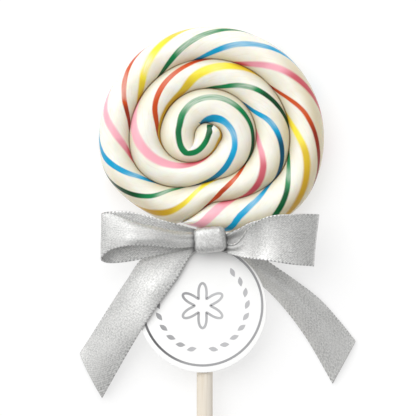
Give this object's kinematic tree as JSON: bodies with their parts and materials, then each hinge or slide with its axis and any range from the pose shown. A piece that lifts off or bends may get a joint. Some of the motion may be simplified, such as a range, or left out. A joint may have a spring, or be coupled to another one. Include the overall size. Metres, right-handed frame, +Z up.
{
  "type": "lollipop",
  "caption": "Swirl lollipop coiled from a striped twisted rope of boiled sugar, on a round stick with a round card tag and a tied satin ribbon bow.",
  "frame": {"origin": "middle of the candy head, on the flat of its back, which it rests on", "axes": "+X to the right, +Y from the stick towards the top of the candy, +Z up out of the shown face"},
  "size_m": [0.0695, 0.1476, 0.0165],
  "materials": {
    "candy": "boiled sugar, glossy",
    "stick": "plain pale, unvarnished",
    "card": "smooth matt card",
    "ribbon": "grey satin"
  },
  "bodies": {
    "root": {"candy_head": "candy", "stick": "stick", "tag": "card", "ribbon_bow": "ribbon"}
  },
  "joints": []
}
